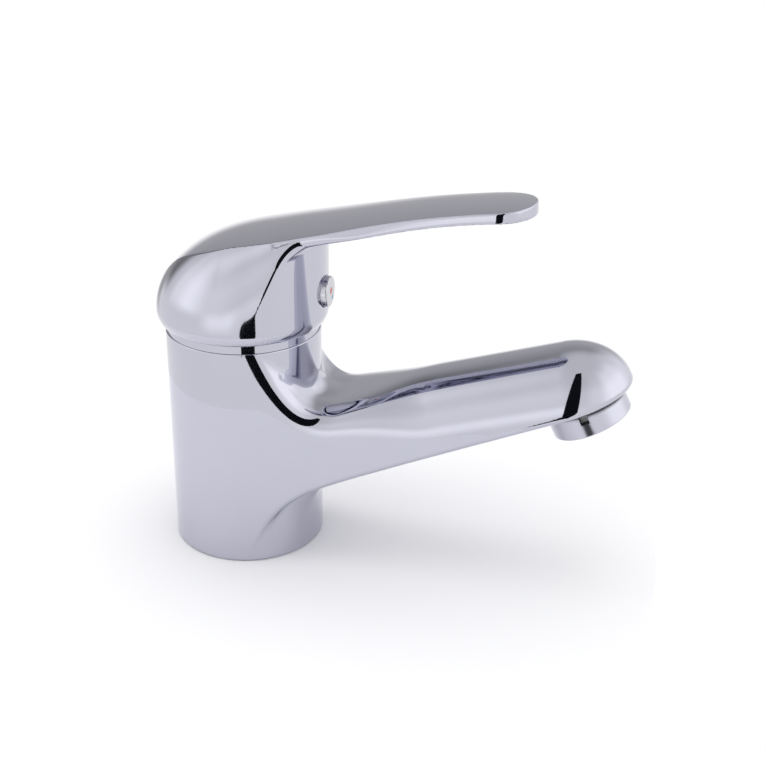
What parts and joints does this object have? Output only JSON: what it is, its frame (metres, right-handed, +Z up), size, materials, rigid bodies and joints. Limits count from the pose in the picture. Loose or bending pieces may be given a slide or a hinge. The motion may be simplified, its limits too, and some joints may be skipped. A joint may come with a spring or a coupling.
{
  "type": "bathroom mixer faucet",
  "caption": "Chrome single-lever basin mixer with a round body, a rising spout with an aerator and a domed handle whose flat lever lifts for flow and swings to mix hot and cold.",
  "frame": {"origin": "middle of the base, on the deck it stands on", "axes": "+X along the spout and lever towards the outlet, +Z up along the body's axis"},
  "size_m": [0.1431, 0.0518, 0.1167],
  "materials": {
    "chrome_plate": "polished",
    "button_plate": "satin",
    "nut_brass": "machined",
    "spindle_brass": "machined",
    "housing_nylon": "moulded",
    "carrier_acetal": "moulded",
    "insert_acetal": "moulded",
    "seal_rubber": "moulded",
    "disc_ceramic": "lapped",
    "pin_steel": "ground",
    "screen_steel": "woven",
    "red_enamel": "gloss",
    "blue_enamel": "gloss"
  },
  "bodies": {
    "base": {"body": "chrome_plate", "base_gasket": "seal_rubber", "trim_ring": "chrome_plate", "retaining_nut": "nut_brass", "cartridge_housing": "housing_nylon", "cartridge_base": "housing_nylon", "inlet_seals": "seal_rubber", "outlet_seal": "seal_rubber", "fixed_disc": "disc_ceramic", "aerator_housing": "chrome_plate", "aerator_insert": "insert_acetal", "aerator_screen": "screen_steel", "aerator_washer": "seal_rubber"},
    "rotor": {"spindle_rotor": "carrier_acetal", "pivot_pin": "pin_steel"},
    "lever": {"handle": "chrome_plate", "spindle": "spindle_brass", "set_screw": "pin_steel", "index_button": "button_plate", "red_mark": "red_enamel", "blue_mark": "blue_enamel"},
    "slider": {"moving_disc": "disc_ceramic", "disc_carrier": "carrier_acetal"}
  },
  "joints": [
    {"name": "lever_swing", "type": "hinge", "parent": "base", "child": "rotor", "pos_m": [0, 0, 0.062], "axis": [0, 0, 1], "range_deg": [-45, 45]},
    {"name": "lever_lift", "type": "hinge", "parent": "rotor", "child": "lever", "pos_m": [0, 0, 0.062], "axis": [0, -1, 0], "range_deg": [0, 25]},
    {"name": "disc_slide", "type": "slide", "parent": "rotor", "child": "slider", "axis": [1, 0, 0], "range_m": [0, 0.0042]}
  ],
  "couplings": [
    {"joint": "disc_slide", "follows": "lever_lift", "m_per_rad": 0.0095}
  ]
}
